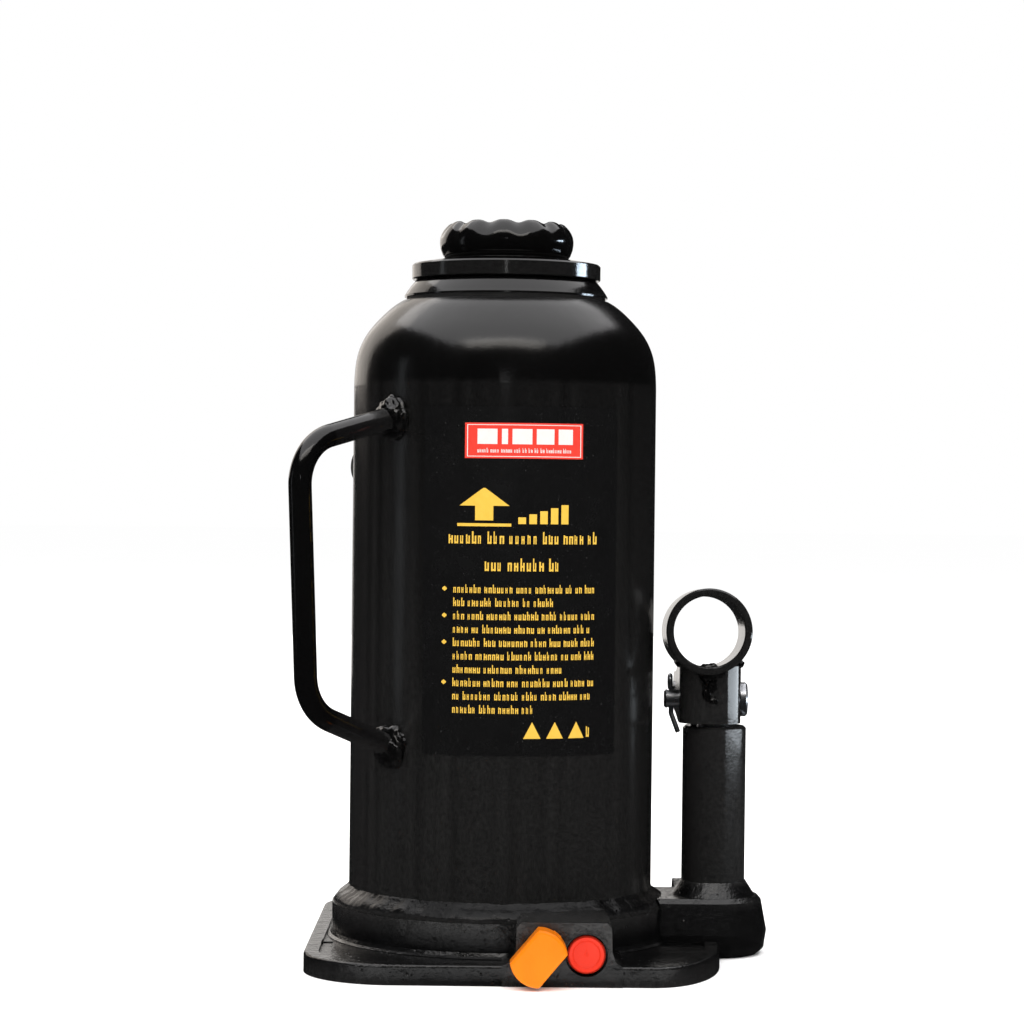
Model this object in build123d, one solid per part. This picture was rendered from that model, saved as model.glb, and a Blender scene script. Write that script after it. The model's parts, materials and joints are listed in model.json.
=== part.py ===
from build123d import *
from math import cos, pi, radians, sin
import os

# A hydraulic bottle jack, in millimetres. The tank's axis is X = Y = 0 and the ground is Z = 0.
# The pump stands on +X, the valves and the label face -Y, and the ram lifts along +Z.

# Base casting
PLATE_LEFT = -59.0
PLATE_RIGHT = 68.0
PLATE_HALF_DEPTH = 70.5
PLATE_HEIGHT = 6.1
FRONT_CORNER_R = 27.0
BACK_CORNER_R = 14.0
PUMP_CORNER_WIDTH = 22.5
PUMP_CORNER_DEPTH = 46.0
RIM_WIDTH = 4.5
RIM_HEIGHT = 0.9
BOSS_R = 53.0
BOSS_TOP = 15.7
BOSS_COVE = 1.6
PAD_FRONT = -71.0
PAD_TOP = 19.0
LUG_TOP = 18.5
LUG_START = 40.0
PUMP_COLLAR_TOP = 23.0
DIMPLE_X = -53.0
DIMPLE_Y = -27.0

# Reservoir tank
TANK_R = 47.8
TANK_WALL = 3.0
DOME_START = 178.0
TANK_TOP = 205.2
TANK_MOUTH_R = 29.6
TANK_RIM_R = 32.6
BEAD_TOP = 21.6

# Ram cylinder, cap and ram
CYLINDER_R = 28.5
BORE_R = 23.5
CYLINDER_BOTTOM = 9.5
CYLINDER_TOP = 199.5
SEAT_Z = 8.0
CAP_BAND_R = 29.8
CAP_BAND_BOTTOM = 211.9
CAP_BAND_TOP = 216.9
CAP_NECK_R = 32.1
CAP_NECK_Z = 206.3
SPIGOT_BOTTOM = 180.5
RAM_R = 19.0
RAM_BOTTOM = 22.0
RAM_TOP = 217.5
RAM_STUD_R = 6.5
RAM_LIFT = 150.0
PISTON_R = 23.2
PISTON_TOP = 30.0

# Extension screw and saddle
SCREW_R = 11.95
SCREW_BOTTOM = 104.0
SCREW_TOP = 218.0
SCREW_TRAVEL = 75.0
NUT_BOTTOM = 181.7
SPIGOT_R = 6.0
SADDLE_BOTTOM = 218.3
SADDLE_TOP = 230.0
SADDLE_R = 21.2
SADDLE_LOBES = 12
SADDLE_TURN = -3.0

# Pump
PUMP_X = 67.5
PUMP_R = 10.0
PUMP_BOTTOM = 11.0
PUMP_TOP = 71.9
PUMP_SEAT = 10.0
PLUNGER_R = 5.5
PLUNGER_BOTTOM = 13.5
PLUNGER_PIN_Z = 80.2
PUMP_STROKE = 14.0
PORT_Y = 3.0
PORT_Z = 3.9
PORT_R = 1.4
DELIVERY_X = 36.7
BALL_R = 2.4

# Handle socket, yoke and link
LEVER = 26.0
FULCRUM_Z = 81.1
YOKE_X = 65.7
YOKE_HALF = 9.7
YOKE_WALL = 2.0
YOKE_FRONT = -10.5
YOKE_BOTTOM = 73.0
PIN_R = 3.0
PIN_END = 51.4
SPLIT_PIN_X = 53.7
SOCKET_X = 64.6
SOCKET_Z = 101.6
SOCKET_R = 13.5
SOCKET_BORE_R = 11.1
SOCKET_FRONT = -16.0
SOCKET_LENGTH = 29.0
SOCKET_TILT = 2.5
LINK_HALF = 4.5
LINK_PIN_Z = 12.4
LINK_EYE_R = 6.2
LINK_SLOT = 1.0
EAR_HALF = 9.5

# Valves on the front pad
RELEASE_X = 11.8
RELIEF_X = 25.9
VALVE_Z = 9.4
CROSS_PORT_Y = -29.5

# Carry handle, filler plug and label
HANDLE_AZIMUTH = 45.0
HANDLE_R = 3.5
HANDLE_TOP_Z = 167.7
HANDLE_BOTTOM_Z = 67.0
PLUG_AZIMUTH = 22.0
PLUG_Z = 152.7
LABEL_LOW = 65.7
LABEL_HIGH = 171.0
LABEL_LEFT = -30.0
LABEL_RIGHT = 46.0
LABEL_T = 0.2

FULCRUM_Y = (LEVER ** 2 - (FULCRUM_Z - PLUNGER_PIN_Z) ** 2) ** 0.5
FIT = 0.05


# ---- shared shapes ----

def rod(start, along, radius, length):
    """A round bar that begins at start and runs along a direction."""
    return extrude(Plane(origin=start, z_dir=along) * Circle(radius), amount=length)


def tube(start, along, outer, inner, length):
    """A round tube that begins at start and runs along a direction."""
    face = Circle(outer) - Circle(inner)
    return extrude(Plane(origin=start, z_dir=along) * face, amount=length)


def turned(outline, x=0.0):
    """A solid turned about a vertical axis at x, from a closed outline of (radius, height)."""
    face = make_face(Plane.XZ * Polyline(*outline, close=True))
    return Pos(x, 0, 0) * revolve(face, Axis.Z)


def coil(start, along, radius, wire, pitch, height):
    """A helical spring of round wire, with its centre line from start."""
    path = Helix(pitch=pitch, height=height, radius=radius)
    section = Plane(origin=path @ 0, z_dir=path % 0) * Circle(wire)
    return Plane(origin=start, z_dir=along) * sweep(section, path=path, is_frenet=True)


def slab(outline, x_low, x_high):
    """A plate cut to an outline of (Y, Z) and standing between two X positions."""
    face = make_face(Plane.YZ * Polyline(*outline, close=True))
    return Pos(x_low, 0, 0) * extrude(face, amount=x_high - x_low, dir=(1, 0, 0))


def eye(y, z, radius, x_low, x_high):
    """A round disc with its axis along X."""
    return rod((x_low, y, z), (1, 0, 0), radius, x_high - x_low)


def bearing(azimuth):
    """The level direction that points away from the tank, at an angle from -X."""
    return Vector(-cos(radians(azimuth)), sin(radians(azimuth)), 0)


# ---- base ----

def plate_outline(inset):
    """The foot's plan: wide round corners in front, the widest towards the pump, small ones behind."""
    left = PLATE_LEFT + inset
    right = PLATE_RIGHT - inset
    front = -PLATE_HALF_DEPTH + inset
    back = PLATE_HALF_DEPTH - inset
    front_r = FRONT_CORNER_R - inset
    back_r = BACK_CORNER_R - inset
    width = PUMP_CORNER_WIDTH - inset
    depth = PUMP_CORNER_DEPTH - inset
    edges = [
        Line((left + front_r, front), (right - width, front)),
        EllipticalCenterArc((right - width, front + depth), width, depth, -90, arc_size=90),
        Line((right, front + depth), (right, back - back_r)),
        CenterArc((right - back_r, back - back_r), back_r, 0, 90),
        Line((right - back_r, back), (left + back_r, back)),
        CenterArc((left + back_r, back - back_r), back_r, 90, 90),
        Line((left, back - back_r), (left, front + front_r)),
        CenterArc((left + front_r, front + front_r), front_r, 180, 90),
    ]
    return make_face(Curve(edges).edges())


def plate():
    """The flat foot, with a low rim round its top."""
    foot = extrude(plate_outline(0), amount=PLATE_HEIGHT)
    foot = fillet(foot.faces().sort_by(Axis.Z)[-1].edges(), 0.9)
    tray = extrude(plate_outline(RIM_WIDTH), amount=2 * RIM_HEIGHT)
    return foot - Pos(0, 0, PLATE_HEIGHT - RIM_HEIGHT) * tray


def boss():
    """The round step under the tank, with a cove at its foot."""
    return turned([
        (0, 0),
        (BOSS_R + BOSS_COVE, 0),
        (BOSS_R + BOSS_COVE, PLATE_HEIGHT - RIM_HEIGHT + 0.2),
        (BOSS_R + BOSS_COVE / 3, PLATE_HEIGHT - RIM_HEIGHT + 0.2 + BOSS_COVE / 3),
        (BOSS_R, PLATE_HEIGHT - RIM_HEIGHT + 0.2 + BOSS_COVE),
        (BOSS_R, BOSS_TOP),
        (0, BOSS_TOP),
    ])


def pump_lug():
    """The drafted lug that carries the pump, round at its outer end."""
    side = [(0, 0), (14.0, 0), (16.3, 2.0), (17.1, 7.5), (15.3, LUG_TOP - 1.4), (14.1, LUG_TOP), (0, LUG_TOP)]
    bridge = slab(side + [(-y, z) for y, z in reversed(side) if y > 0], LUG_START, PUMP_X)
    collar = turned([(0, LUG_TOP), (13.2, LUG_TOP), (10.3, PUMP_COLLAR_TOP), (0, PUMP_COLLAR_TOP)], PUMP_X)
    return turned(side, PUMP_X) + bridge + collar


def link_ears():
    """Two ears behind the pump that hold the lower end of the link."""
    block = slab([(8, 0), (33.0, 0), (33.6, 8), (31.4, 17.0), (28.5, 19.5), (22.5, 19.5), (8, 18)],
                 YOKE_X - EAR_HALF, YOKE_X + EAR_HALF)
    gap = slab([(17.6, 4.8), (36, 4.8), (36, 24), (17.6, 24)],
               YOKE_X - LINK_HALF - 0.4, YOKE_X + LINK_HALF + 0.4)
    pin_hole = eye(FULCRUM_Y, LINK_PIN_Z, PIN_R, YOKE_X - EAR_HALF - 1, YOKE_X + EAR_HALF + 1)
    return block, gap + pin_hole


def valve_pad():
    """The raised pad in front that both valves are screwed into."""
    outline = Polyline((1, 0), (36.6, 0), (36.6, 6.1), (34.4, 7.6), (33.5, 10.5), (33.3, 17.4), (31.9, PAD_TOP),
                       (6.7, PAD_TOP), (5.3, 17.4), (5.1, 10.5), (4.0, 7.6), (1, 6.1), close=True)
    return Pos(0, PAD_FRONT, 0) * extrude(make_face(Plane.XZ * outline), amount=-28)


def oil_passages():
    """Seats, pockets and drilled ports inside the base."""
    along_x = (1, 0, 0)
    up = (0, 0, 1)
    inward = (0, 1, 0)
    end = PUMP_X + 17.0
    return [
        rod((0, 0, SEAT_Z), up, CYLINDER_R + FIT, 20),
        rod((PUMP_X, 0, PUMP_SEAT), up, PUMP_R + FIT, 20),
        # suction: tank floor, gallery, ball pocket under the pump
        rod((DELIVERY_X, PORT_Y, PORT_Z), up, PORT_R, 15),
        rod((DELIVERY_X, PORT_Y, PORT_Z), along_x, PORT_R, end - DELIVERY_X),
        rod((PUMP_X, PORT_Y, PORT_Z), up, PORT_R, 5),
        rod((PUMP_X, PORT_Y, 5.4), up, BALL_R + 0.2, 6),
        rod((PUMP_X + 10.5, PORT_Y, PORT_Z), along_x, 2.5, 10),
        # delivery: pump, gallery, sprung ball pocket, ram cylinder
        rod((PUMP_X, -PORT_Y, PORT_Z), up, PORT_R, 8),
        rod((DELIVERY_X, -PORT_Y, PORT_Z), along_x, PORT_R, end - DELIVERY_X),
        rod((PUMP_X + 10.5, -PORT_Y, PORT_Z), along_x, 2.5, 10),
        rod((DELIVERY_X, -PORT_Y, PORT_Z), up, PORT_R, 4),
        rod((DELIVERY_X, -PORT_Y, 6.0), up, 3.5, 12),
        rod((16, -PORT_Y, 6.4), along_x, PORT_R, DELIVERY_X - 16),
        rod((16, -PORT_Y, 6.4), up, PORT_R, 3),
        # release: cylinder, ball seat, stem bore, return to the tank
        rod((RELEASE_X, -14, 6.2), up, PORT_R, 3),
        rod((RELEASE_X, CROSS_PORT_Y, 6.2), inward, PORT_R, -14 - CROSS_PORT_Y),
        rod((RELEASE_X, CROSS_PORT_Y, 6.2), up, PORT_R, VALVE_Z - 6.2),
        rod((RELEASE_X, -36, VALVE_Z), inward, PORT_R, CROSS_PORT_Y + 36),
        rod((RELEASE_X, -42, VALVE_Z), inward, 3.4, 8),
        rod((RELEASE_X, -80, VALVE_Z), inward, 5.0 + FIT, 38.5),
        rod((RELEASE_X, -36.3, VALVE_Z), up, PORT_R, 12),
        # overload relief: cross port, ball seat, spring and screw bore, return to the tank
        rod((RELEASE_X, CROSS_PORT_Y, VALVE_Z), along_x, PORT_R, RELIEF_X - RELEASE_X),
        rod((RELIEF_X, -33.4, VALVE_Z), inward, PORT_R, CROSS_PORT_Y + 33.4),
        rod((RELIEF_X, -37, VALVE_Z), inward, 2.4, 4.6),
        rod((RELIEF_X, -80, VALVE_Z), inward, 4.0, 43.7),
        rod((RELIEF_X, -80, VALVE_Z), inward, 6.25, 15),
        rod((RELIEF_X, -35.2, VALVE_Z), up, 1.0, 12),
    ]


def base_casting():
    """The cast base: plate, boss, pump lug, link ears and valve pad, with all its bores."""
    ears, ear_cuts = link_ears()
    body = plate() + boss() + pump_lug() + ears + valve_pad()
    body -= ear_cuts
    body -= rod((0, 0, BOSS_TOP), (0, 0, 1), TANK_R + 0.02, 20)
    body -= weld_ring()
    for cut in oil_passages():
        body -= cut
    dimple = Pos(DIMPLE_X, DIMPLE_Y, PLATE_HEIGHT - 1.2) * extrude(SlotOverall(11, 3.4, rotation=90), amount=5)
    return body - dimple


def weld_ring():
    """The run of weld that seals the tank to the boss."""
    return turned([
        (TANK_R, BOSS_TOP),
        (BOSS_R - 0.3, BOSS_TOP),
        (BOSS_R - 0.8, BOSS_TOP + 1.7),
        (BOSS_R - 2.8, BOSS_TOP + 3.9),
        (TANK_R + 0.9, BEAD_TOP - 0.4),
        (TANK_R, BEAD_TOP),
    ])


# ---- tank and what is fixed to it ----

def reservoir_tank():
    """The deep-drawn tank: a straight wall that closes into a dome round the cap."""
    inner = TANK_R - TANK_WALL
    outside = [(TANK_R, DOME_START), (47.7, 181), (46.9, 187.4), (44.3, 193.8), (39.0, 200.2), (TANK_RIM_R, TANK_TOP)]
    inside = [(TANK_MOUTH_R, 202.4), (35.5, 198.6), (40.6, 193.0), (43.6, 186.0), (inner, DOME_START)]
    edges = Plane.XZ * Curve([
        Line((inner, BOSS_TOP), (TANK_R, BOSS_TOP)),
        Line((TANK_R, BOSS_TOP), outside[0]),
        Spline(*outside, tangents=[(0, 1), (-1, 0.55)]),
        Line(outside[-1], (TANK_MOUTH_R, TANK_TOP)),
        Line((TANK_MOUTH_R, TANK_TOP), inside[0]),
        Spline(*inside, tangents=[(1, -0.5), (0, -1)]),
        Line(inside[-1], (inner, BOSS_TOP)),
    ])
    shell = revolve(make_face(edges.edges()), Axis.Z)
    out = bearing(PLUG_AZIMUTH)
    return shell - rod(out * 40 + Vector(0, 0, PLUG_Z), out, 4.1, 12)


def carry_handle():
    """A bent round bar, cut at both ends to sit on the tank wall."""
    out = bearing(-HANDLE_AZIMUTH)
    side = Plane(origin=(0, 0, 0), x_dir=out, z_dir=out.cross(Vector(0, 0, 1)))
    points = [(45.5, HANDLE_TOP_Z + 0.6), (86.0, 158.6), (81.9, 79.6), (45.5, HANDLE_BOTTOM_Z - 1.0)]
    path = side * FilletPolyline(*points, radius=15.0)
    section = Plane(origin=path @ 0, z_dir=path % 0) * Circle(HANDLE_R)
    return sweep(section, path=path) - rod((0, 0, 50), (0, 0, 1), TANK_R, 150)


def handle_weld_beads(handle):
    """A lump of weld round each end of the carry handle."""
    out = bearing(-HANDLE_AZIMUTH)
    tank = rod((0, 0, 50), (0, 0, 1), TANK_R, 150)
    beads = []
    for height in (HANDLE_TOP_Z, HANDLE_BOTTOM_Z):
        spot = Pos(out * TANK_R + Vector(0, 0, height))
        lump = spot * Sphere(6.2)
        beads.append((lump - tank - handle).solids().sort_by(SortBy.VOLUME)[-1])
    return Compound(beads)


def label():
    """The printed sheet that is stuck round the front of the tank."""
    sheet = tube((0, 0, LABEL_LOW), (0, 0, 1), TANK_R + LABEL_T, TANK_R, LABEL_HIGH - LABEL_LOW)
    reach = 3 * TANK_R
    left = radians(LABEL_LEFT)
    right = radians(LABEL_RIGHT)
    wedge = make_face(Polyline(
        (0, 0),
        (reach * sin(left), -reach * cos(left)),
        (0, -2 * reach),
        (reach * sin(right), -reach * cos(right)),
        close=True,
    ))
    return sheet & extrude(wedge, amount=DOME_START)


def oil_filler_plug():
    """The rubber stopper of the filling hole: a domed head, a neck and a swollen tip."""
    outline = [(0, -6.5), (3.2, -6.5), (4.0, -5.2), (4.0, 0.6), (5.7, 0.6), (6.0, 1.2), (5.8, 2.9), (4.6, 3.7), (0, 3.9)]
    out = bearing(PLUG_AZIMUTH)
    face = Plane(origin=out * TANK_R + Vector(0, 0, PLUG_Z), z_dir=out)
    return face * turned(outline)


# ---- ram cylinder, cap and ram ----

def ram_cylinder():
    """The thick pressure tube that stands inside the tank."""
    return tube((0, 0, CYLINDER_BOTTOM), (0, 0, 1), CYLINDER_R, BORE_R, CYLINDER_TOP - CYLINDER_BOTTOM)


def cylinder_gasket():
    """The soft ring under the ram cylinder."""
    return tube((0, 0, SEAT_Z), (0, 0, 1), CYLINDER_R - 0.3, BORE_R - 2, CYLINDER_BOTTOM - SEAT_Z)


def tank_gasket():
    """The sealing ring between the dome and the cap."""
    return tube((0, 0, TANK_TOP), (0, 0, 1), CAP_NECK_R - 0.7, TANK_MOUTH_R, CAP_NECK_Z - TANK_TOP)


def tank_cap():
    """The cap nut: it closes the tank, stops the ram and guides it."""
    bore = RAM_R + FIT
    flare = Spline((CAP_NECK_R, CAP_NECK_Z + 0.6), (30.6, 209.2), (28.4, CAP_BAND_BOTTOM))
    body = [
        (28.4, CAP_BAND_BOTTOM),
        (CAP_BAND_R - 0.3, CAP_BAND_BOTTOM),
        (CAP_BAND_R, CAP_BAND_BOTTOM + 0.4),
        (CAP_BAND_R, CAP_BAND_TOP - 0.5),
        (CAP_BAND_R - 0.5, CAP_BAND_TOP),
        (23.0, 218.0),
        (22.3, 218.0),
        (22.3, 214.0),
        (bore, 214.0),
        (bore, SPIGOT_BOTTOM),
        (BORE_R - FIT, SPIGOT_BOTTOM),
        (BORE_R - FIT, CYLINDER_TOP),
        (TANK_MOUTH_R - 0.3, CYLINDER_TOP),
        (TANK_MOUTH_R - 0.3, CAP_NECK_Z),
        (CAP_NECK_R, CAP_NECK_Z),
        (CAP_NECK_R, CAP_NECK_Z + 0.6),
    ]
    face = make_face((Plane.XZ * Curve([flare, Polyline(*body)])).edges())
    return revolve(face, Axis.Z)


def ram_wiper():
    """The rubber ring in the cap's mouth that wipes the ram."""
    return turned([(RAM_R + FIT, 214.0), (22.3, 214.0), (22.3, 217.2), (20.6, 217.6), (RAM_R + FIT, 216.6)])


def ram():
    """The plated lifting ram: hollow, threaded near its mouth, with a stud for the piston seal."""
    outline = [
        (0, 11.0),
        (RAM_STUD_R - 0.6, 11.0),
        (RAM_STUD_R, 11.6),
        (RAM_STUD_R, RAM_BOTTOM),
        (RAM_R, RAM_BOTTOM),
        (RAM_R, RAM_TOP - 0.8),
        (RAM_R - 0.8, RAM_TOP),
        (SCREW_R + FIT + 0.8, RAM_TOP),
        (SCREW_R + FIT, RAM_TOP - 0.8),
        (SCREW_R + FIT, NUT_BOTTOM),
        (13.2, NUT_BOTTOM),
        (13.2, 99.0),
        (0, 95.0),
    ]
    return turned(outline)


def piston_collar():
    """The guide collar on the ram's foot, which also stops it under the cap."""
    return tube((0, 0, RAM_BOTTOM), (0, 0, 1), PISTON_R, RAM_R, PISTON_TOP - RAM_BOTTOM)


def seal_backup_washer():
    """The hard washer behind the cup seal."""
    return tube((0, 0, 20.5), (0, 0, 1), PISTON_R, RAM_STUD_R, 1.5)


def piston_cup_seal():
    """The rubber cup that holds the pressure under the ram."""
    lip = BORE_R - FIT
    return turned([(RAM_STUD_R, 20.5), (lip, 20.5), (lip, 13.2), (20.6, 13.6), (20.0, 16.6), (RAM_STUD_R, 16.6)])


def seal_retaining_nut():
    """The hexagon nut that clamps the cup seal on its stud."""
    outer = RegularPolygon(11.5, 6)
    return Pos(0, 0, 11.6) * extrude(outer - Circle(RAM_STUD_R), amount=5.0)


def extension_screw():
    """The hand-turned screw inside the ram, with a spigot for the saddle."""
    return turned([
        (0, SCREW_BOTTOM),
        (SCREW_R - 1.2, SCREW_BOTTOM),
        (SCREW_R, SCREW_BOTTOM + 1.0),
        (10.4, SCREW_BOTTOM + 1.0),
        (10.4, SCREW_BOTTOM + 2.2),
        (SCREW_R, SCREW_BOTTOM + 2.2),
        (SCREW_R, SCREW_TOP - 0.6),
        (SCREW_R - 0.6, SCREW_TOP),
        (SPIGOT_R, SCREW_TOP),
        (SPIGOT_R, 220.4),
        (SPIGOT_R - 0.9, 220.4),
        (SPIGOT_R - 0.9, 221.6),
        (SPIGOT_R, 221.6),
        (SPIGOT_R, 223.4),
        (SPIGOT_R - 0.8, 224.2),
        (0, 224.2),
    ])


def screw_stop_ring():
    """The wire ring that stops the screw from leaving the ram."""
    return tube((0, 0, SCREW_BOTTOM + 1.0), (0, 0, 1), 12.7, 10.4, 1.2)


def saddle_retaining_ring():
    """The snap ring that holds the saddle on its spigot."""
    return tube((0, 0, 220.5), (0, 0, 1), 6.9, SPIGOT_R - 0.9, 1.0)


def saddle():
    """The load pad: barrel-sided, dished, with a crown of rounded lobes."""
    top = SADDLE_TOP
    body = turned([
        (SPIGOT_R + FIT, SADDLE_BOTTOM),
        (18.9, SADDLE_BOTTOM),
        (20.0, SADDLE_BOTTOM + 1.2),
        (20.9, SADDLE_BOTTOM + 3.4),
        (SADDLE_R, SADDLE_BOTTOM + 6.0),
        (20.9, SADDLE_BOTTOM + 7.9),
        (20.1, top - 2.7),
        (18.2, top - 0.5),
        (17.3, top),
        (15.9, top - 0.5),
        (14.2, top - 2.4),
        (10.5, top - 3.4),
        (0, top - 3.8),
        (0, 224.6),
        (SPIGOT_R + FIT, 224.6),
        (SPIGOT_R + FIT, 222.0),
        (7.3, 222.0),
        (7.3, 220.0),
        (SPIGOT_R + FIT, 220.0),
    ])
    for n in range(SADDLE_LOBES):
        angle = SADDLE_TURN + (n + 0.5) * 360 / SADDLE_LOBES
        body -= Rot(0, 0, angle) * rod((12.5, 0, top + 3.0), (1, 0, 0), 4.0, 12)
    return body


# ---- pump ----

def pump_cylinder():
    """The pump's barrel, with a pocket for the gland seal at its mouth."""
    return turned([
        (PLUNGER_R + FIT, PUMP_BOTTOM),
        (PUMP_R, PUMP_BOTTOM),
        (PUMP_R, PUMP_TOP - 0.7),
        (PUMP_R - 0.7, PUMP_TOP),
        (PLUNGER_R + FIT, PUMP_TOP),
        (PLUNGER_R + FIT, PUMP_TOP - 1.2),
        (7.4, PUMP_TOP - 1.2),
        (7.4, PUMP_TOP - 5.4),
        (PLUNGER_R + FIT, PUMP_TOP - 5.4),
    ], PUMP_X)


def pump_gland_seal():
    """The rubber ring that seals round the plunger."""
    return tube((PUMP_X, 0, PUMP_TOP - 5.4), (0, 0, 1), 7.4, PLUNGER_R + FIT, 4.2)


def pump_gasket():
    """The copper washer under the pump cylinder."""
    return tube((PUMP_X, 0, PUMP_SEAT), (0, 0, 1), PUMP_R - 0.2, PLUNGER_R + 0.3, 1.0)


def plunger():
    """The pump's plunger: a ground rod with a seal neck below and a cross hole above."""
    crown = PLUNGER_PIN_Z + PLUNGER_R
    bar = turned([
        (0, PLUNGER_BOTTOM),
        (4.8, PLUNGER_BOTTOM),
        (4.8, PLUNGER_BOTTOM + 1.5),
        (3.7, PLUNGER_BOTTOM + 1.5),
        (3.7, PLUNGER_BOTTOM + 5.5),
        (PLUNGER_R, PLUNGER_BOTTOM + 5.5),
        (PLUNGER_R, crown - 2.0),
        (PLUNGER_R - 1.8, crown),
        (0, crown),
    ], PUMP_X)
    return bar - eye(0, PLUNGER_PIN_Z, PIN_R + FIT, PUMP_X - 10, PUMP_X + 10)


def plunger_cup_seal():
    """The rubber ring on the plunger's neck."""
    return tube((PUMP_X, 0, PLUNGER_BOTTOM + 1.5), (0, 0, 1), PLUNGER_R, 3.7, 4.0)


def seated_ball(x, y, seat_z):
    """A steel ball that rests on the edge of a vertical port."""
    rise = (BALL_R ** 2 - PORT_R ** 2) ** 0.5
    return Pos(x, y, seat_z + rise + 0.02) * Sphere(BALL_R)


def delivery_spring():
    """The light spring that presses the delivery ball on its seat."""
    return coil((DELIVERY_X, -PORT_Y, 10.75), (0, 0, 1), 2.0, 0.3, 0.8, 2.0)


def delivery_plug():
    """The slotted screw that closes the delivery pocket."""
    body = rod((DELIVERY_X, -PORT_Y, 13.1), (0, 0, 1), 3.5, 2.5)
    return body - Pos(DELIVERY_X, -PORT_Y, 15.2) * Box(8, 1, 1.4)


def suction_strainer():
    """The pierced cup over the suction port on the tank's floor."""
    cup = rod((DELIVERY_X, PORT_Y + 0.3, BOSS_TOP), (0, 0, 1), 2.8, 3.2)
    cup -= rod((DELIVERY_X, PORT_Y + 0.3, BOSS_TOP), (0, 0, 1), 2.3, 2.7)
    for n in range(3):
        window = Rot(0, 0, 60 * n) * Box(8, 0.9, 1.2)
        cup -= Pos(DELIVERY_X, PORT_Y + 0.3, BOSS_TOP + 1.5) * window
    return cup


def gallery_plugs():
    """The two set screws that close the drilled galleries in the lug."""
    screws = []
    for y in (-PORT_Y, PORT_Y):
        socket = Plane(origin=(PUMP_X + 13.4, y, PORT_Z), z_dir=(1, 0, 0)) * RegularPolygon(1.4, 6)
        screws.append(rod((PUMP_X + 10.6, y, PORT_Z), (1, 0, 0), 2.5, 4.4) - extrude(socket, amount=3))
    return Compound(screws)


# ---- handle socket, yoke and link ----

def socket_tube():
    """The short tube that takes the jack handle, tipped up a little in front."""
    lean = Location((SOCKET_X, 0, SOCKET_Z), (-SOCKET_TILT, 0, 0))
    shell = tube((0, SOCKET_FRONT, 0), (0, 1, 0), SOCKET_R, SOCKET_BORE_R, SOCKET_LENGTH)
    rims = shell.edges().filter_by(GeomType.CIRCLE)
    return lean * chamfer(rims, 0.5)


def socket_envelope(radius):
    """The space that the socket tube fills."""
    lean = Location((SOCKET_X, 0, SOCKET_Z), (-SOCKET_TILT, 0, 0))
    return lean * rod((0, SOCKET_FRONT - 5, 0), (0, 1, 0), radius, SOCKET_LENGTH + 10)


def yoke_gap():
    """The space between the yoke's cheeks."""
    inner = YOKE_HALF - YOKE_WALL
    front = YOKE_FRONT + YOKE_WALL
    space = slab([(front, 60), (40, 60), (40, 110), (front, 110)], YOKE_X - inner, YOKE_X + inner)
    return fillet([e for e in space.edges().filter_by(Axis.Z) if e.center().Y < front + 0.1], 4.2)


def yoke():
    """The folded steel bracket: two cheeks joined by a rounded web in front."""
    side = [
        (YOKE_FRONT, YOKE_BOTTOM),
        (YOKE_FRONT, 91.0),
        (9, 91.6),
        (14, 88.4),
        (21, 87.3),
        (27.5, 87.2),
        (31.4, 84.5),
        (32.2, 80.5),
        (30.0, 76.4),
        (26.0, 74.9),
        (17.0, 74.6),
        (6.0, YOKE_BOTTOM + 0.4),
        (2.0, YOKE_BOTTOM),
    ]
    block = slab(side, YOKE_X - YOKE_HALF, YOKE_X + YOKE_HALF)
    front = [e for e in block.edges().filter_by(Axis.Z) if e.center().Y < YOKE_FRONT + 0.1]
    block = fillet(front, 6.2) - yoke_gap()
    for y, z in ((0, PLUNGER_PIN_Z), (FULCRUM_Y, FULCRUM_Z)):
        block -= eye(y, z, PIN_R, YOKE_X - 15, YOKE_X + 15)
    return block - socket_envelope(SOCKET_R)


def socket_weld(frame):
    """Runs of weld between the socket tube and the yoke."""
    front = Pos(YOKE_X, YOKE_FRONT + 0.6, 87.4) * scale(Sphere(1), by=(4.4, 2.8, 3.4))
    runs = []
    for x in (YOKE_X - YOKE_HALF, YOKE_X + YOKE_HALF):
        lift = SOCKET_Z - (SOCKET_R ** 2 - (x - SOCKET_X) ** 2) ** 0.5
        runs.append(rod((x, YOKE_FRONT + 7.0, min(lift, 91.6) - 0.2), (0, 1, 0), 1.6, 11.0))
    beads = []
    for lump in [front] + runs:
        clear = lump - frame - socket_envelope(SOCKET_R) - yoke_gap()
        beads.append(clear.solids().sort_by(SortBy.VOLUME)[-1])
    return Compound(beads)


def plunger_pin():
    """The headed pin that joins the yoke to the plunger."""
    face = YOKE_X + YOKE_HALF
    shank = eye(0, PLUNGER_PIN_Z, PIN_R, PIN_END, face + 0.2)
    shank = chamfer(shank.faces().sort_by(Axis.X)[0].edges(), 0.6)
    head = eye(0, PLUNGER_PIN_Z, 5.4, face + 0.05, face + 2.3)
    head = chamfer(head.faces().sort_by(Axis.X)[-1].edges(), 0.6)
    return shank + head - rod((SPLIT_PIN_X, 0, 70), (0, 0, 1), 1.7, 20)


def pin_spacer():
    """The loose sleeve that fills the yoke on the tank's side of the plunger."""
    inner = YOKE_X - YOKE_HALF + YOKE_WALL
    return tube((inner + 0.1, 0, PLUNGER_PIN_Z), (1, 0, 0), 5.2, PIN_R + FIT, PUMP_X - PLUNGER_R - inner - 0.5)


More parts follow.
